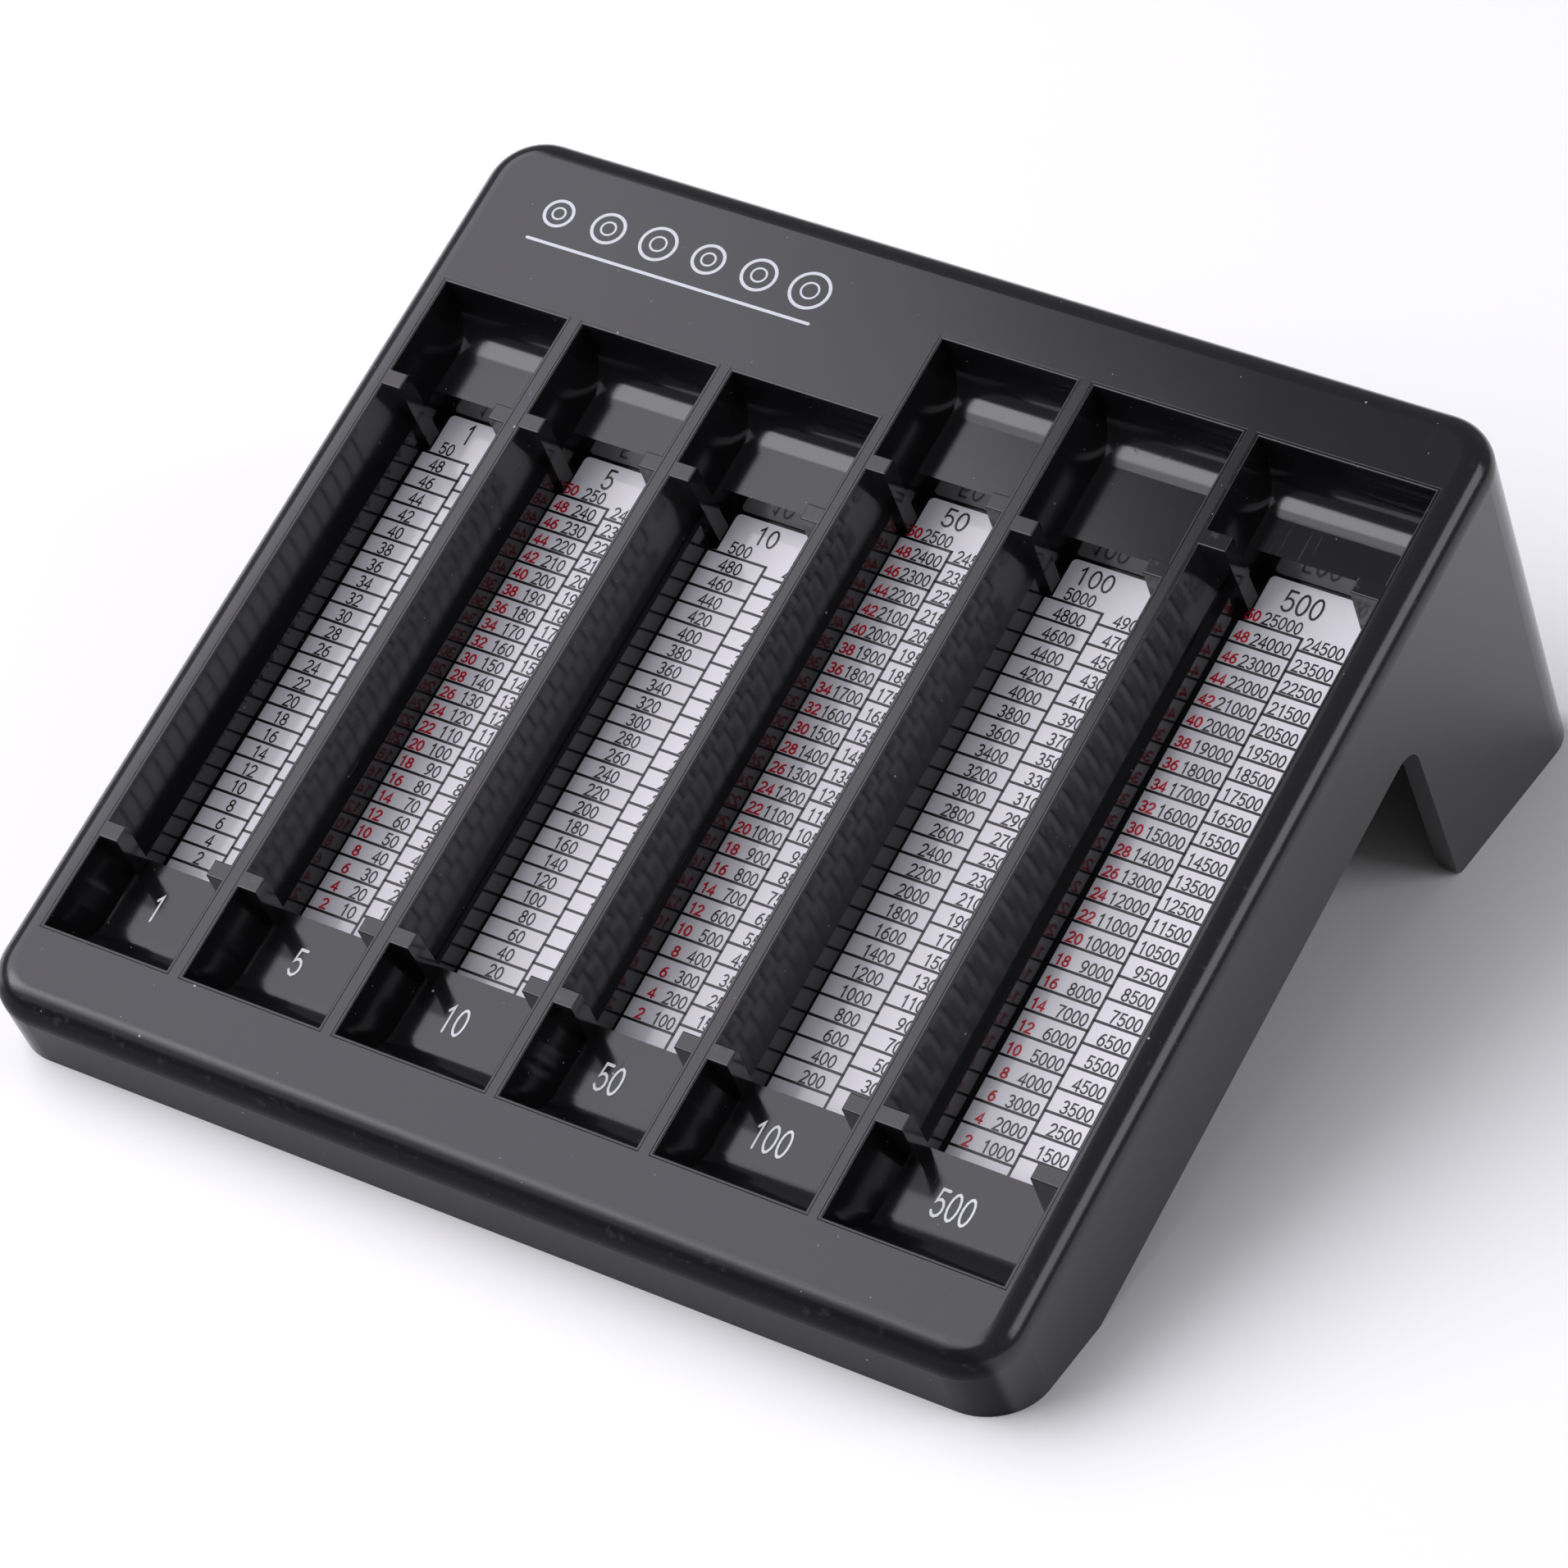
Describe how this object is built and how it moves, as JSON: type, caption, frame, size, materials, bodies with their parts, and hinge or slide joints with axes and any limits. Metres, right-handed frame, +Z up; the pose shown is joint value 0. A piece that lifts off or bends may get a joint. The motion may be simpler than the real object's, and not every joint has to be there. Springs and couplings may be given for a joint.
{
  "type": "coin counting tray",
  "caption": "Manual coin counting tray: a low wedge-shaped housing with parallel sloping lanes of different widths, stop ribs, finger wells and printed scales along each lane.",
  "frame": {"origin": "middle of the footprint, on the surface that the tray stands on", "axes": "+X across the lanes from left to right, +Y towards the high back, +Z up"},
  "size_m": [0.161, 0.171, 0.0689],
  "materials": {
    "housing_plastic": "satin black moulded ABS",
    "channel_plastic": "glossy black moulded styrene",
    "scale_print": "gloss white printed film"
  },
  "bodies": {
    "root": {"top_housing": "housing_plastic", "lane_1_channel": "channel_plastic", "lane_1_scale": "scale_print", "lane_2_channel": "channel_plastic", "lane_2_scale": "scale_print", "lane_3_channel": "channel_plastic", "lane_3_scale": "scale_print", "lane_4_channel": "channel_plastic", "lane_4_scale": "scale_print", "lane_5_channel": "channel_plastic", "lane_5_scale": "scale_print", "lane_6_channel": "channel_plastic", "lane_6_scale": "scale_print"}
  },
  "joints": []
}
